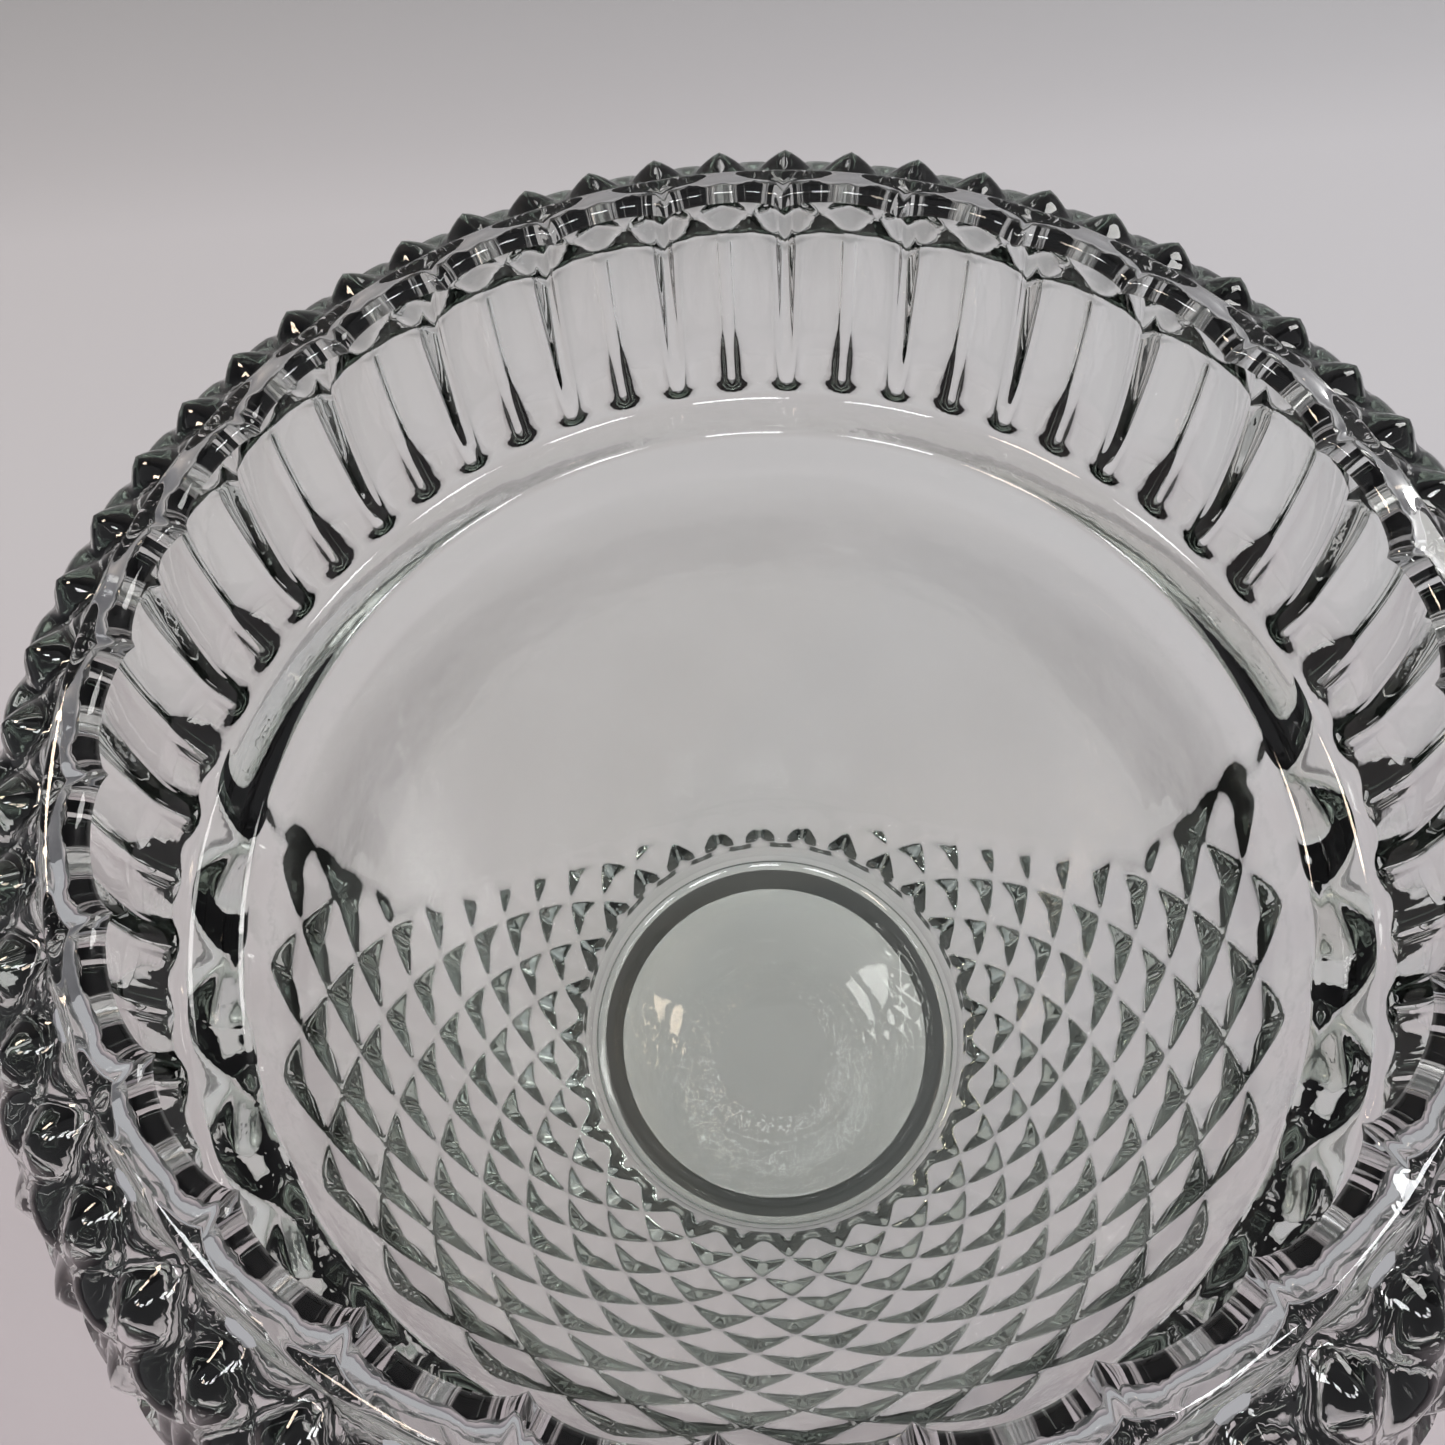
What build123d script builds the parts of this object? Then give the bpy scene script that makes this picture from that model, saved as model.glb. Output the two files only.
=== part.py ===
from build123d import *
from math import cos, hypot, pi, sin, sqrt
import os

# Bulbous diamond-cut mixing glass, standing on its base, millimetres.
# Origin: centre of the flat base. +Z is the axis of the glass, mouth up.
# +Y is the side that carries the smooth oval panel.

# ---- overall form ----
height = 135.0
lip_radius = 41.8             # outer edge of the flat rim
belly_radius = 53.2
base_radius = 32.3
shoulder_drop = 30.4          # mouth plane down to the widest ring
shoulder_roundness = 2.6      # exponent of the shoulder curve, 2 is an ellipse

# ---- rim and cavity ----
rim_round = 0.7               # rounded outer edge of the rim
mouth_radius = 38.0           # at the ridges between the flutes
flare_radius = 49.4           # inside of the shoulder, just above the ledge
flare_drop = 32.4
flare_roundness = 1.7
ledge_drop = 34.6             # mouth plane down to the ledge's inner edge
bowl_radius = 45.2            # inside of the bowl at the ledge
bowl_floor_radius = 27.7
base_thickness = 12.5
floor_fillet = 4.5
floor_rise = 3.8              # the floor rises a little to its middle
base_recess = 2.5             # hollow under the base, inside the ring it stands on
recess_radius = 24.0

# ---- relief ----
columns = 28                  # diamonds round the body, and flutes round the shoulder
cut_depth = 1.6
fine_rows = 4                 # half rows of small diamonds outside the lip
fine_step = 4.0               # half a small diamond, along the shoulder
flute_length = 23.0           # along the shoulder, outside
flute_depth = 1.4
body_step = 7.2               # half a diamond, along the wall
heel_length = 7.0             # plain band above the base
inner_flute_radius = 5.6
inner_flute_bite = 2.0

# ---- smooth panel ----
panel_half_angle = 85.0
panel_drop = 57.0             # mouth plane down to the panel's middle
panel_half_height = 66.5


def outer_radius(z):
    """Radius of the plain outer form at height z."""
    belly_z = height - shoulder_drop
    if z >= belly_z:
        u = min(1.0, (z - belly_z) / (shoulder_drop - rim_round))
        rise = (1.0 - u**shoulder_roundness) ** (1.0 / shoulder_roundness)
        return lip_radius + (belly_radius - lip_radius) * rise
    w = (belly_z - z) / belly_z
    squeeze = 1.0 - (base_radius / belly_radius) ** 2
    return belly_radius * sqrt(1.0 - squeeze * w * w)


def flare_inner_radius(drop):
    """Inside radius of the shoulder, a given drop below the mouth plane."""
    u = max(0.0, (flare_drop - drop) / flare_drop)
    rise = (1.0 - u**flare_roundness) ** (1.0 / flare_roundness)
    return mouth_radius + (flare_radius - mouth_radius) * rise


def bowl_inner_radius(drop):
    """Inside radius of the bowl, a given drop below the mouth plane."""
    w = (drop - ledge_drop) / (height - base_thickness - ledge_drop)
    squeeze = 1.0 - (bowl_floor_radius / bowl_radius) ** 2
    return bowl_radius * sqrt(1.0 - squeeze * w * w)


def walk_profile(samples=1200):
    """Outer form from the lip to the base as (length along it, radius, height)."""
    shoulder_top = height - rim_round
    walked = [(0.0, lip_radius, shoulder_top)]
    for i in range(1, samples + 1):
        z = shoulder_top * (1.0 - (i / samples) ** 2)
        r = outer_radius(z)
        s0, r0, z0 = walked[-1]
        walked.append((s0 + hypot(r - r0, z - z0), r, z))
    return walked


profile = walk_profile()
profile_length = profile[-1][0]


def on_profile(s):
    """Radius, height and outward direction at a length s along the outer form."""
    s = min(max(s, 0.0), profile_length)
    for (s0, r0, z0), (s1, r1, z1) in zip(profile, profile[1:]):
        if s1 >= s:
            t = (s - s0) / (s1 - s0)
            length = hypot(r1 - r0, z1 - z0)
            out_r, out_z = (z0 - z1) / length, (r1 - r0) / length
            return r0 + t * (r1 - r0), z0 + t * (z1 - z0), out_r, out_z
    return base_radius, 0.0, 1.0, 0.0


def relief_share(angle, z):
    """1 where the relief is full depth, 0 inside the smooth oval panel."""
    off = (angle - pi / 2 + pi) % (2 * pi) - pi
    across = off / (panel_half_angle * pi / 180.0)
    along = (height - panel_drop - z) / panel_half_height
    return min(1.0, max(0.0, (hypot(across, along) - 0.9) / 0.1))


def lattice_rows():
    """Rows of the relief lattice from lip to base: (length, depth at even, depth at odd)."""
    rows = [(0.0, 0.0, 0.0)]
    s = 0.0
    for i in range(1, fine_rows + 1):
        s += fine_step
        rows.append((s, cut_depth if i % 2 == 0 else 0.0, 0.0 if i % 2 == 0 else cut_depth))
    flute_end = s + flute_length
    pieces = 4
    for i in range(1, pieces + 1):
        s += flute_length / pieces
        rows.append((s, flute_depth, 0.0))
    body_rows = 2 * int((profile_length - heel_length - flute_end) / body_step / 2)
    step = (profile_length - heel_length - flute_end) / body_rows
    for i in range(1, body_rows + 1):
        s += step
        rows.append((s, cut_depth if i % 2 else 0.0, 0.0 if i % 2 else cut_depth))
    return rows


def lattice_points():
    """Every row's corner points, two for each column, and which are cut in."""
    rows = []
    for share in (0.0, 0.5):
        # rounded outer edge of the rim
        r = lip_radius - rim_round * (1.0 - sin(share * pi / 2))
        z = height - rim_round * (1.0 - cos(share * pi / 2))
        edge = []
        for i in range(2 * columns):
            angle = pi / 2 + (i + 1) * pi / columns
            edge.append(Vector(r * cos(angle), r * sin(angle), z))
        rows.append((edge, False))
    for s, even_depth, odd_depth in lattice_rows():
        r, z, out_r, out_z = on_profile(s)
        row = []
        for i in range(2 * columns):
            angle = pi / 2 + (i + 1) * pi / columns
            depth = (odd_depth if i % 2 else even_depth) * relief_share(angle, z)
            rr, zz = r - depth * out_r, z - depth * out_z
            row.append(Vector(rr * cos(angle), rr * sin(angle), zz))
        rows.append((row, even_depth > odd_depth))
    foot = []
    for i in range(2 * columns):
        angle = pi / 2 + (i + 1) * pi / columns
        foot.append(Vector(base_radius * cos(angle), base_radius * sin(angle), 0.0))
    rows.append((foot, False))
    return rows


def faceted_block():
    """The solid block of glass with the cut relief on its outside."""
    rows = lattice_points()
    count = 2 * columns
    faces = []
    for (upper, upper_cut), (lower, lower_cut) in zip(rows, rows[1:]):
        for i in range(count):
            k = (i + 1) % count
            even_corner_cut = (i % 2 == 0) == upper_cut
            a, b, c, d = upper[i], upper[k], lower[k], lower[i]
            if even_corner_cut:
                corners = ((a, d, c), (a, c, b))
            else:
                corners = ((a, d, b), (b, d, c))
            for trio in corners:
                faces.append(Face(Wire.make_polygon(trio, close=True)))
    faces.append(Face(Wire.make_polygon(rows[0][0], close=True)))
    faces.append(Face(Wire.make_polygon(rows[-1][0], close=True)))
    return Solid(Shell(faces))


os.makedirs("parts", exist_ok=True)

block = faceted_block()

with BuildPart() as glass_body:
    add(block)
    # hollow of the glass: mouth, flared shoulder, ledge, bowl and raised floor
    with BuildSketch(Plane.XZ) as cavity_profile:
        with BuildLine():
            flare_drops = [flare_drop * i / 12 for i in range(13)]
            flare = [(flare_inner_radius(d), height - d) for d in flare_drops]
            floor_z = base_thickness
            bowl_end = height - floor_z - floor_fillet
            bowl_drops = [ledge_drop + (bowl_end - ledge_drop) * i / 10 for i in range(11)]
            bowl = [(bowl_inner_radius(d), height - d) for d in bowl_drops]
            Line((0, height + 2), (mouth_radius, height + 2))
            Line((mouth_radius, height + 2), flare[0])
            Spline(*flare)
            Line(flare[-1], bowl[0])
            Spline(*bowl)
            end_x = bowl[-1][0] - floor_fillet
            mid = (end_x + floor_fillet * 0.72, floor_z + floor_fillet * 0.3)
            ThreePointArc(bowl[-1], mid, (end_x, floor_z))
            Line((end_x, floor_z), (0, floor_z + floor_rise))
            Line((0, floor_z + floor_rise), (0, height + 2))
        make_face()
    revolve(axis=Axis.Z, mode=Mode.SUBTRACT)
    # shallow recess under the base
    with BuildSketch(Plane.XZ) as recess_profile:
        with BuildLine():
            slope_end = recess_radius * (1 + 1 / base_recess)
            Line((0, -1), (slope_end, -1))
            Line((slope_end, -1), (0, base_recess))
            Line((0, base_recess), (0, -1))
        make_face()
    revolve(axis=Axis.Z, mode=Mode.SUBTRACT)

with BuildPart() as flute_cutter:
    # one flute: a round rod bent along the inside of the shoulder, open at the rim
    inset = inner_flute_radius - inner_flute_bite
    spine_points = []
    for i in range(9):
        drop = (flare_drop - 3.5) * i / 8
        r0, r1 = flare_inner_radius(drop), flare_inner_radius(drop + 0.2)
        run = hypot(r1 - r0, 0.2)
        spine_points.append((r0 - inset * 0.2 / run, 0, height - drop - inset * (r1 - r0) / run))
    lead_in = (spine_points[0][0] - 1.2, 0, height + 7.0)
    with BuildLine() as spine:
        Spline(lead_in, *spine_points)
    with BuildSketch(Plane(origin=spine.line @ 0, z_dir=spine.line % 0)):
        Circle(inner_flute_radius)
    sweep()
    with Locations(spine_points[-1]):
        Sphere(inner_flute_radius)

with BuildPart() as glass:
    add(glass_body.part)
    with PolarLocations(0, columns, start_angle=90):
        add(flute_cutter.part, mode=Mode.SUBTRACT)

glass.part.label = "glass_body"
export_step(glass.part, "parts/glass_body.step")
print("volume cm3", glass.part.volume / 1000, "box", glass.part.bounding_box().size)
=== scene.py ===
"""Mixing glass: visual piece, stage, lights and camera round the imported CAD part."""
import math

import bpy
import numpy as np
from mathutils import Matrix, Vector


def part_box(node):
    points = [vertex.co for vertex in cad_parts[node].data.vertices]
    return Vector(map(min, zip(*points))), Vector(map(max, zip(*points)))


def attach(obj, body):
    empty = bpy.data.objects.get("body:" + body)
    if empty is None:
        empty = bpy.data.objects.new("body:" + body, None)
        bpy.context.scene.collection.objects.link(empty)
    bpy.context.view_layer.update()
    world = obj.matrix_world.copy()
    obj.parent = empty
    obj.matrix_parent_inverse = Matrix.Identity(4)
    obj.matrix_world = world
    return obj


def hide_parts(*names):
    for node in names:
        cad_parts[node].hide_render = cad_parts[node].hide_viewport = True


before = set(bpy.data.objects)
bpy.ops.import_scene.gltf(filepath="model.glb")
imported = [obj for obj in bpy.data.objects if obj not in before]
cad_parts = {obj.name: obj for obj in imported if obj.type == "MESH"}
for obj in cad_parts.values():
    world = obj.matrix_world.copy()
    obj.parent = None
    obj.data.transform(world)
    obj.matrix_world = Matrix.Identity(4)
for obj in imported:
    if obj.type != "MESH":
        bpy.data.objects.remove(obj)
cad_low, cad_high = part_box("glass_body")

# ---- sizes of the glass, as shares of the mouth radius ----
MOUTH = 0.038                 # metres, at the ridges between the flutes
HEIGHT = (cad_high.z - cad_low.z) / MOUTH
RIM_OUT = 1.10
BELLY = 1.40
BELLY_DROP = 0.80
BASE = 0.85
SHOULDER_POWER = 2.6
EDGE_OUT = 0.018              # rounding of the rim's outer edge
EDGE_IN = 0.030               # rounding of the rim's inner edge
FLARE_OUT = 1.30
FLARE_DROP = 0.853
FLARE_POWER = 1.7
LEDGE_DROP = 0.911
BOWL = 1.19
FLOOR = 0.729
FLOOR_DROP = HEIGHT - 0.329
FLOOR_FILLET = 0.118
FLOOR_RISE = 0.10
RECESS = 0.066
RECESS_OUT = 0.63
COLUMNS = 28                  # body diamonds, and flutes inside the shoulder
FINE = 2                      # outside the shoulder there are this many to a column

# ---- relief ----
SHOULDER_ROW = 0.2105
SHOULDER_ROWS = 2 * SHOULDER_ROW  # length of the small-diamond zone along the wall
SHOULDER_CUT = 0.033          # depth of the small diamonds
SHOULDER_RIB = 0.022          # depth between the ribs that run up through them
RIB_RUN = 0.605               # length of the rib zone below them
OUTER_RIB = 0.036             # depth between the ribs
WAIST = 0.048                 # step in under the ribs
WAIST_START = 0.02            # from the ribs' lower end
WAIST_RUN = 0.24              # length of the step in
WAIST_RETURN = 0.7            # length over which the wall comes back out
RELIEF_EDGE = 0.03            # length over which a zone of relief starts or stops
BODY_ROW = 0.38
BODY_CUT = 0.040
INNER_FLUTE = 0.053
HEEL_PLAIN = 0.18
SOFTNESS = 6.5                # how rounded the pressed edges are, higher is sharper
PANEL_ANGLE = math.radians(85)
PANEL_DROP = 1.5
PANEL_HALF = 1.75

# ---- mesh density ----
PER_COLUMN = 18
PER_ROW = 24


def ease(low, high, x):
    t = np.clip((x - low) / (high - low), 0, 1)
    return t * t * (3 - 2 * t)


def outer_form(drop):
    """Radius of the plain outer form, a drop below the rim's plane."""
    drop = np.asarray(drop, float)
    u = np.clip((BELLY_DROP - drop) / (BELLY_DROP - EDGE_OUT), 0, 1)
    upper = RIM_OUT + (BELLY - RIM_OUT) * (1 - u**SHOULDER_POWER) ** (1 / SHOULDER_POWER)
    w = np.clip((drop - BELLY_DROP) / (HEIGHT - BELLY_DROP), 0, 1)
    lower = BELLY * np.sqrt(1 - (1 - (BASE / BELLY) ** 2) * w * w)
    return np.where(drop < BELLY_DROP, upper, lower)


def inner_form(drop):
    """Radius of the cavity at the ridges between the flutes, a drop below the rim's plane."""
    drop = np.asarray(drop, float)
    u = np.clip((FLARE_DROP - drop) / FLARE_DROP, 0, 1)
    flare = 1 + (FLARE_OUT - 1) * (1 - u**FLARE_POWER) ** (1 / FLARE_POWER)
    w = np.clip((drop - LEDGE_DROP) / (FLOOR_DROP - LEDGE_DROP), 0, 1)
    bowl = BOWL * np.sqrt(1 - (1 - (FLOOR / BOWL) ** 2) * w * w)
    ledge = FLARE_OUT + (BOWL - FLARE_OUT) * ease(FLARE_DROP, LEDGE_DROP, drop)
    return np.where(drop < FLARE_DROP, flare, np.where(drop < LEDGE_DROP, ledge, bowl))


def walk_outside():
    """Drops and lengths along the outer form, from rim to base."""
    drops = np.concatenate([
        EDGE_OUT + (BELLY_DROP - EDGE_OUT) * np.linspace(0, 1, 500) ** 2,
        np.linspace(BELLY_DROP, HEIGHT, 700)[1:],
    ])
    radii = outer_form(drops)
    steps = np.hypot(np.diff(drops), np.diff(radii))
    return drops, radii, np.concatenate([[0], np.cumsum(steps)])


OUT_DROPS, OUT_RADII, OUT_LENGTHS = walk_outside()
OUT_LENGTH = OUT_LENGTHS[-1]


def on_outside(s):
    """Radius, drop and outward direction at a length along the outer form."""
    step = 1e-3
    drop, radius = np.interp(s, OUT_LENGTHS, OUT_DROPS), np.interp(s, OUT_LENGTHS, OUT_RADII)
    ends = (max(s - step, 0), min(s + step, OUT_LENGTH))
    d0, d1 = np.interp(ends, OUT_LENGTHS, OUT_DROPS)
    r0, r1 = np.interp(ends, OUT_LENGTHS, OUT_RADII)
    out = np.array([d1 - d0, r1 - r0])
    return radius, drop, out / np.linalg.norm(out)


def pyramids(u, v):
    """Relief of a lattice of four-sided points: 0 at each point, -1 in the grooves."""
    a, b = (u + v) % 1.0, (u - v) % 1.0
    ta, tb = 1 - np.abs(a - 0.5) * 2, 1 - np.abs(b - 0.5) * 2
    low = -np.log(np.exp(-SOFTNESS * ta) + np.exp(-SOFTNESS * tb)) / SOFTNESS
    return np.clip(low, 0, 1) - 1


def scallop(u):
    """A flute's hollow across one column: 1 at its middle, 0 at the ridges."""
    t = (u % 1.0) - 0.5
    return np.sqrt(np.clip(1 - (2 * t * 0.985) ** 2, 0, 1))


def outer_relief(u, s, angle, drop):
    """How far the outside is cut in, as a negative number, at a length s along the wall."""
    if s < SHOULDER_ROWS:
        ribs = -SHOULDER_RIB * (1 - scallop(FINE * u + 0.5)) * ease(0.0, 0.08, s)
        ribs = ribs * (1 - ease(SHOULDER_ROW, SHOULDER_ROWS, s))
        return ribs + SHOULDER_CUT * pyramids(FINE * u, s / SHOULDER_ROW) * ease(0.0, 0.012, s)
    ribs_end = SHOULDER_ROWS + RIB_RUN
    if s < ribs_end:
        rise = ease(SHOULDER_ROWS, SHOULDER_ROWS + RELIEF_EDGE, s)
        fall = 1 - ease(ribs_end - RELIEF_EDGE, ribs_end, s)
        return -OUTER_RIB * (1 - scallop(FINE * u)) * rise * fall
    # the wall steps in under the ribs, then comes back out slowly
    step_start = ribs_end + WAIST_START
    step_end = step_start + WAIST_RUN
    waist = -WAIST * ease(step_start, step_end, s) * (1 - ease(step_end, step_end + WAIST_RETURN, s))
    off = np.angle(np.exp(1j * (angle - np.pi / 2)))
    oval = np.hypot(off / PANEL_ANGLE, (drop - PANEL_DROP) / PANEL_HALF)
    share = ease(0.93, 1.0, oval) * ease(ribs_end, ribs_end + RELIEF_EDGE, s)
    share = share * (1 - ease(OUT_LENGTH - HEEL_PLAIN - 0.12, OUT_LENGTH - HEEL_PLAIN, s))
    return waist + BODY_CUT * pyramids(u + 0.5, (s - ribs_end) / BODY_ROW) * share


def inner_relief(u, drop):
    """Depth of the flutes inside the shoulder, open at the rim."""
    end = 1 - ease(FLARE_DROP - 0.20, FLARE_DROP + 0.01, drop)
    hollow = scallop(u)
    top = 0.02 + 0.10 * (1 - hollow)
    step = 0.55 + 0.45 * ease(top, top + 0.03, drop)
    return INNER_FLUTE * hollow * step * end


class Skin:
    """A closed skin built ring by ring round the axis."""

    def __init__(self, count):
        self.angle = np.linspace(0, 2 * np.pi, count, endpoint=False)
        self.points, self.rings = [], []

    def centre(self, z):
        self.points.append(np.array([[0.0, 0.0, z]]))

    def ring(self, radius, z):
        r, zz = np.broadcast_to(radius, self.angle.shape), np.broadcast_to(z, self.angle.shape)
        self.rings.append(sum(len(p) for p in self.points))
        self.points.append(np.stack([r * np.cos(self.angle), r * np.sin(self.angle), zz], 1))

    def mesh(self, name):
        co = np.concatenate(self.points)
        n = len(self.angle)
        j = np.arange(n)
        k = (j + 1) % n
        quads = [np.stack([a + j, a + k, b + k, b + j], 1) for a, b in zip(self.rings, self.rings[1:])]
        faces = np.concatenate(quads).tolist()
        first, last = self.rings[0], self.rings[-1]
        faces += [(0, first + int(b), first + int(a)) for a, b in zip(j, k)]
        faces += [(len(co) - 1, last + int(a), last + int(b)) for a, b in zip(j, k)]
        made = bpy.data.meshes.new(name)
        made.from_pydata(co.tolist(), [], faces)
        made.update()
        for polygon in made.polygons:
            polygon.use_smooth = True
        return made


def glass_skin():
    skin = Skin(COLUMNS * PER_COLUMN)
    angle = skin.angle
    u = (angle - np.pi / 2) * COLUMNS / (2 * np.pi) + 0.5
    top = HEIGHT                        # rim plane, in mouth radii above the base
    # underside: recess, then the ring it stands on and the rounded heel
    skin.centre(RECESS)
    for f in np.linspace(0, 1, 16)[1:]:
        skin.ring(RECESS_OUT * f, RECESS * (1 - f * f))
    skin.ring(RECESS_OUT + 0.015, 0.0)
    skin.ring(BASE - 0.07, 0.0)
    for a in np.linspace(-np.pi / 2, 0, 7)[1:]:
        skin.ring(BASE - 0.05 + 0.05 * math.cos(a), 0.05 + 0.05 * math.sin(a))
    # outside, base to rim
    start = OUT_LENGTH - 0.07
    for s in np.linspace(start, 0.0, int(start / BODY_ROW * PER_ROW)):
        radius, drop, out = on_outside(s)
        cut = outer_relief(u, s, angle, drop)
        skin.ring(radius + cut * out[0], top - drop + cut * out[1])
    # rim: outer rounding, nearly flat top, inner rounding that follows the flutes
    for a in np.linspace(0, np.pi / 2, 7)[1:]:
        skin.ring(RIM_OUT - EDGE_OUT * (1 - math.cos(a)), top - EDGE_OUT * (1 - math.sin(a)))
    inner = inner_form(0.0) + inner_relief(u, 0.0)
    outer_top = RIM_OUT - EDGE_OUT
    for f in np.linspace(0, 1, 8)[1:-1]:
        skin.ring(outer_top * (1 - f) + (inner + EDGE_IN) * f, top)
    for a in np.linspace(0, np.pi / 2, 8)[:-1]:
        skin.ring(inner + EDGE_IN * (1 - math.sin(a)), top - EDGE_IN * (1 - math.cos(a)))
    # inside, rim to floor
    for drop in np.linspace(EDGE_IN, LEDGE_DROP + 0.02, 130):
        skin.ring(inner_form(drop) + inner_relief(u, drop), top - drop)
    for drop in np.linspace(LEDGE_DROP + 0.02, FLOOR_DROP - FLOOR_FILLET, 70)[1:]:
        skin.ring(inner_form(drop), top - drop)
    low = float(inner_form(FLOOR_DROP - FLOOR_FILLET)) - FLOOR_FILLET
    for a in np.linspace(0, np.pi / 2, 14)[1:]:
        z = top - FLOOR_DROP + FLOOR_FILLET * (1 - math.sin(a))
        skin.ring(low + FLOOR_FILLET * math.cos(a), z)
    for f in np.linspace(1, 0, 18)[1:-1]:
        skin.ring(low * f, top - FLOOR_DROP + FLOOR_RISE * (1 - f * f))
    skin.centre(top - FLOOR_DROP + FLOOR_RISE)
    return skin.mesh("pressed_glass")


def glass_material():
    """Clear pressed glass with a grey-green body tint and faint surface waviness."""
    mat = bpy.data.materials.new("pressed_glass")
    mat.use_nodes = True
    nt = mat.node_tree
    out, glass = nt.nodes["Material Output"], nt.nodes["Principled BSDF"]
    glass.inputs["Base Color"].default_value = (0.985, 0.995, 0.985, 1)
    glass.inputs["Transmission Weight"].default_value = 1.0
    glass.inputs["IOR"].default_value = 1.5
    # mould marks: slow waviness, with a fine grain under it
    where = nt.nodes.new("ShaderNodeTexCoord")
    wave, grain = nt.nodes.new("ShaderNodeTexNoise"), nt.nodes.new("ShaderNodeTexNoise")
    wave.inputs["Scale"].default_value, wave.inputs["Detail"].default_value = 70.0, 2.0
    grain.inputs["Scale"].default_value, grain.inputs["Detail"].default_value = 420.0, 3.0
    join = nt.nodes.new("ShaderNodeMath")
    join.operation = "MULTIPLY_ADD"
    join.inputs[1].default_value = 0.12
    bump = nt.nodes.new("ShaderNodeBump")
    bump.inputs["Strength"].default_value = 0.20
    bump.inputs["Distance"].default_value = 0.0006
    haze = nt.nodes.new("ShaderNodeMapRange")
    haze.inputs["From Min"].default_value, haze.inputs["From Max"].default_value = 0.35, 0.75
    haze.inputs["To Min"].default_value, haze.inputs["To Max"].default_value = 0.01, 0.05
    for noise in (wave, grain):
        nt.links.new(where.outputs["Object"], noise.inputs["Vector"])
    nt.links.new(grain.outputs["Fac"], join.inputs[0])
    nt.links.new(wave.outputs["Fac"], join.inputs[2])
    nt.links.new(join.outputs[0], bump.inputs["Height"])
    nt.links.new(bump.outputs["Normal"], glass.inputs["Normal"])
    nt.links.new(wave.outputs["Fac"], haze.inputs["Value"])
    nt.links.new(haze.outputs["Result"], glass.inputs["Roughness"])
    # lamps reach what stands behind and under the glass
    path = nt.nodes.new("ShaderNodeLightPath")
    clear, mix = nt.nodes.new("ShaderNodeBsdfTransparent"), nt.nodes.new("ShaderNodeMixShader")
    clear.inputs["Color"].default_value = (0.55, 0.57, 0.56, 1)
    nt.links.new(path.outputs["Is Shadow Ray"], mix.inputs["Fac"])
    nt.links.new(glass.outputs["BSDF"], mix.inputs[1])
    nt.links.new(clear.outputs["BSDF"], mix.inputs[2])
    nt.links.new(mix.outputs["Shader"], out.inputs["Surface"])
    tint = nt.nodes.new("ShaderNodeVolumeAbsorption")
    tint.inputs["Color"].default_value = (0.50, 0.70, 0.56, 1)
    tint.inputs["Density"].default_value = 7.0
    nt.links.new(tint.outputs["Volume"], out.inputs["Volume"])
    return mat


def plain_material(name, colour):
    mat = bpy.data.materials.new(name)
    mat.use_nodes = True
    shader = mat.node_tree.nodes["Principled BSDF"]
    shader.inputs["Base Color"].default_value = (*colour, 1)
    shader.inputs["Roughness"].default_value = 0.8
    return mat


def add(name, mesh, mat):
    ob = bpy.data.objects.new(name, mesh)
    bpy.context.scene.collection.objects.link(ob)
    ob.data.materials.append(mat)
    return ob


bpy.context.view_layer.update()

# ---- the glass ----
skin = glass_skin()
skin.transform(Matrix.Scale(MOUTH, 4))
glass = add("glass_visual", skin, glass_material())
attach(glass, "root")
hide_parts("glass_body")

# ---- stage: a pale table that sweeps up into a grey backdrop ----
TABLE_FRONT = (0.45, 0.40, 0.425)
TABLE_BACK = (0.50, 0.495, 0.515)
BACKDROP = (0.33, 0.33, 0.34)


def sweep_mesh(half_width, front, bend_at, bend, high):
    """A floor from front to bend_at that curves up into a wall."""
    line = [(front, 0.0), (bend_at, 0.0)]
    for a in np.linspace(0, np.pi / 2, 17)[1:]:
        line.append((bend_at + bend * math.sin(a), bend * (1 - math.cos(a))))
    line.append((bend_at + bend, high))
    points = [(x, y, z) for y, z in line for x in (-half_width, half_width)]
    faces = [(2 * i, 2 * i + 1, 2 * i + 3, 2 * i + 2) for i in range(len(line) - 1)]
    made = bpy.data.meshes.new("table_sweep")
    made.from_pydata(points, [], faces)
    for polygon in made.polygons:
        polygon.use_smooth = True
    return made


def stage_material():
    """Matt table, pinkish in front and paler behind, darkening to grey up the backdrop."""
    mat = plain_material("table", TABLE_FRONT)
    nt = mat.node_tree
    shader = nt.nodes["Principled BSDF"]
    where, split = nt.nodes.new("ShaderNodeTexCoord"), nt.nodes.new("ShaderNodeSeparateXYZ")
    ramp = nt.nodes.new("ShaderNodeValToRGB")
    reach = nt.nodes.new("ShaderNodeMapRange")
    reach.inputs["From Min"].default_value, reach.inputs["From Max"].default_value = -0.1, 0.4
    stops = ((0.0, TABLE_FRONT), (0.45, TABLE_BACK), (0.62, TABLE_BACK), (0.80, BACKDROP))
    ramp.color_ramp.elements.remove(ramp.color_ramp.elements[1])
    for i, (place, colour) in enumerate(stops):
        stop = ramp.color_ramp.elements[0] if i == 0 else ramp.color_ramp.elements.new(place)
        stop.position, stop.color = place, (*colour, 1)
    nt.links.new(where.outputs["Object"], split.inputs[0])
    nt.links.new(split.outputs["Y"], reach.inputs["Value"])
    nt.links.new(reach.outputs["Result"], ramp.inputs["Fac"])
    nt.links.new(ramp.outputs["Color"], shader.inputs["Base Color"])
    return mat


table = add("table", sweep_mesh(3.0, -3.0, 0.24, 0.14, 1.5), stage_material())

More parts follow.
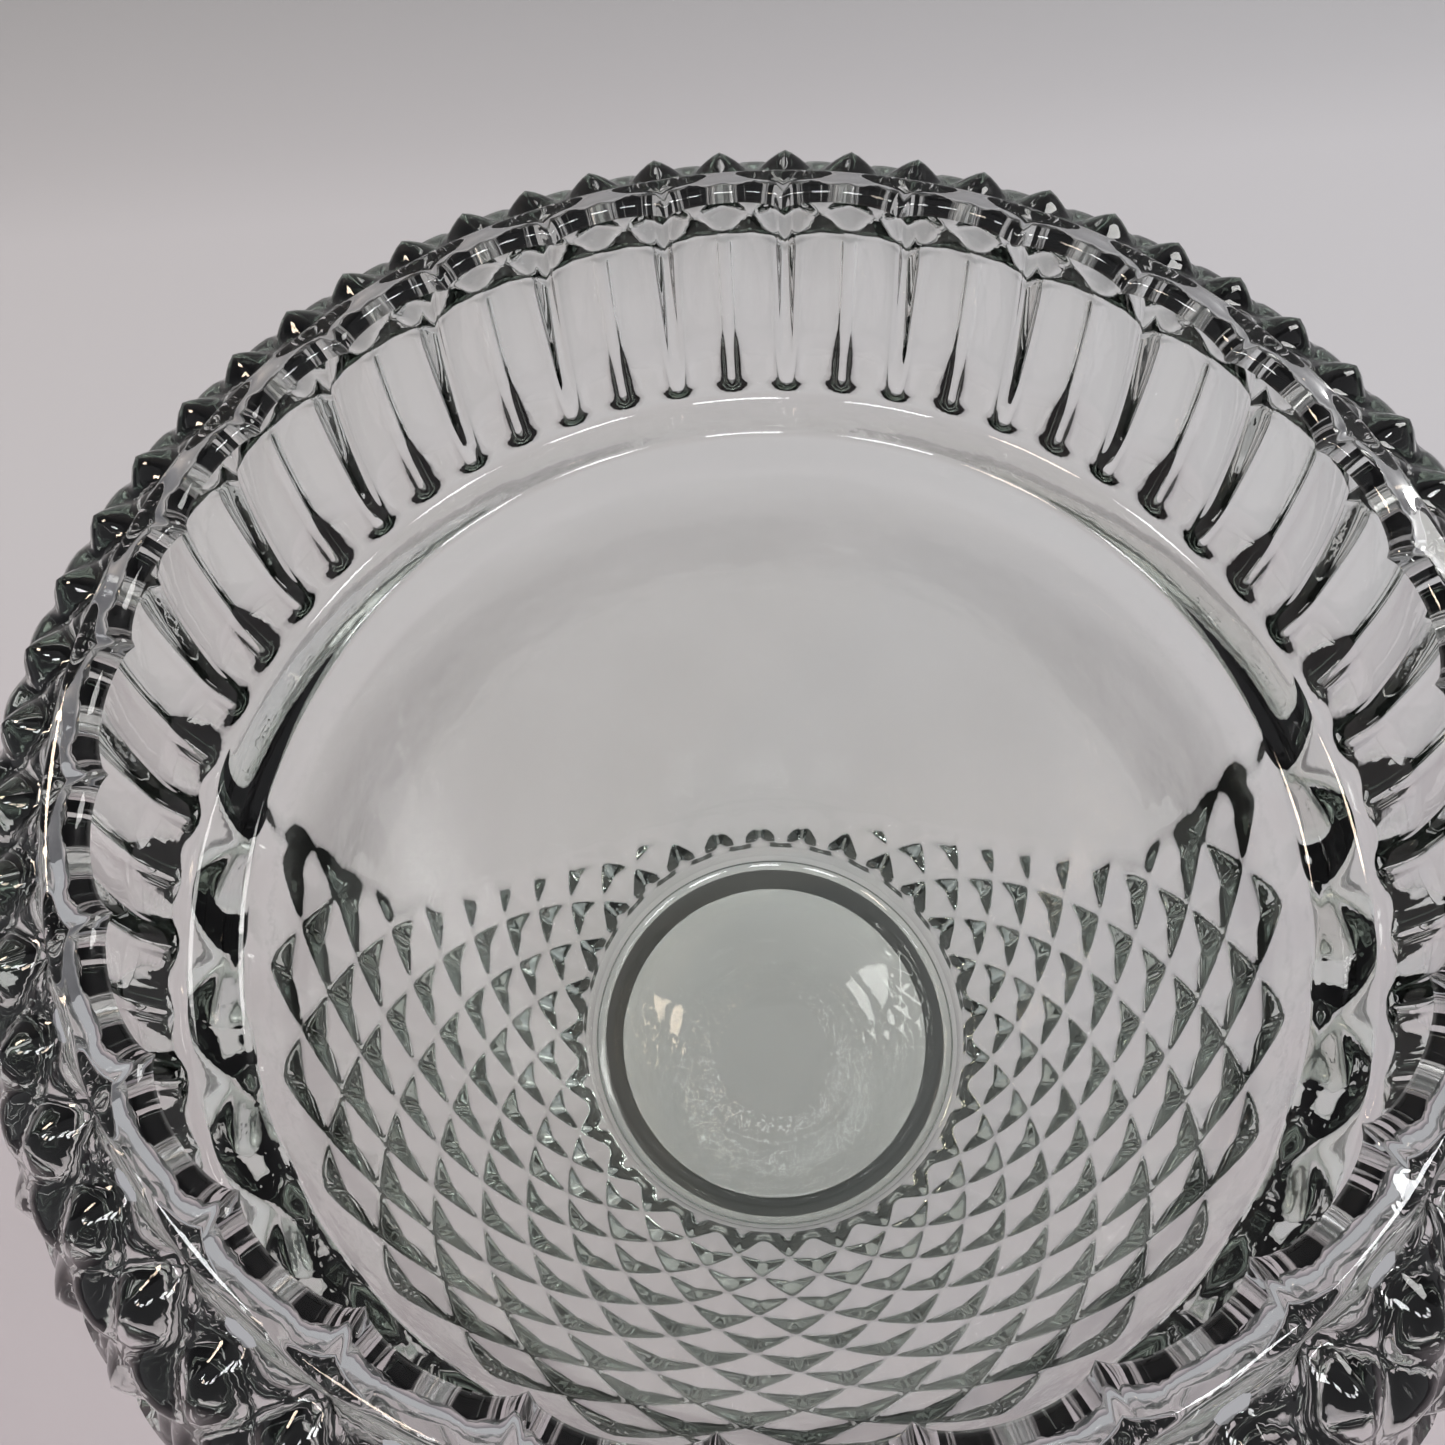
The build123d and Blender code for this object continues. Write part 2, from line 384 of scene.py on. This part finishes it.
# ---- light ----
world = bpy.data.worlds.new("room")
bpy.context.scene.world = world
world.use_nodes = True
world.node_tree.nodes["Background"].inputs["Color"].default_value = (0.84, 0.84, 0.88, 1)
world.node_tree.nodes["Background"].inputs["Strength"].default_value = 0.48


def lamp(name, place, size, power, colour, target):
    data = bpy.data.lights.new(name, "AREA")
    data.energy, data.size, data.color = power, size, colour
    ob = bpy.data.objects.new(name, data)
    bpy.context.scene.collection.objects.link(ob)
    ob.location = place
    ob.rotation_euler = (Vector(target) - Vector(place)).to_track_quat("-Z", "Y").to_euler()
    return ob


lamp("key", (0.55, 0.35, 0.60), 0.35, 3.6, (1.0, 0.99, 0.97), (0, 0, 0.08))
lamp("warm", (-0.42, 0.20, 0.55), 0.10, 0.9, (1.0, 0.80, 0.62), (0, 0, 0.08))
lamp("back", (0.10, 0.75, 0.50), 0.30, 1.8, (0.95, 0.97, 1.0), (0, 0, 0.08))
# an arc of small lamps overhead, which the ledge catches as bright spots
SPOTS = 7
SPOT_ARC = 132                # degrees, from the first to the last
for i in range(SPOTS):
    a = math.radians(SPOT_ARC * (i / (SPOTS - 1) - 0.5))
    place = (0.48 * math.sin(a), 0.10 - 0.44 * math.cos(a), 0.85)
    colour = (1.0, 0.84, 0.70) if i == 1 else (0.97, 0.98, 1.0)
    lamp(f"spot_{i}", place, 0.10, 0.62, colour, (0, 0, 0.10))

# ---- camera: looking down into the mouth from close by ----
VIEW_FROM = (-0.022, -0.804, 1.458)   # mouth radii, from the middle of the mouth
TILT, YAW, ROLL = math.radians(25.6), math.radians(-3.0), math.radians(-6.6)
LENS = 27.05

ahead = Vector((math.sin(YAW) * math.sin(TILT), math.cos(YAW) * math.sin(TILT), -math.cos(TILT)))
right = Vector((math.cos(YAW), -math.sin(YAW), 0.0))
up = right.cross(ahead)
side = right * math.cos(ROLL) + up * math.sin(ROLL)
over = up * math.cos(ROLL) - right * math.sin(ROLL)
camera_data = bpy.data.cameras.new("camera")
camera_data.lens, camera_data.sensor_width = LENS, 36.0
camera_data.clip_start = 0.002
camera = bpy.data.objects.new("camera", camera_data)
bpy.context.scene.collection.objects.link(camera)
turn = Matrix((side, over, -ahead)).transposed().to_4x4()
turn.translation = Vector(VIEW_FROM) * MOUTH + Vector((0, 0, cad_high.z))
camera.matrix_world = turn
bpy.context.scene.camera = camera
bpy.context.scene.view_settings.view_transform = "Standard"
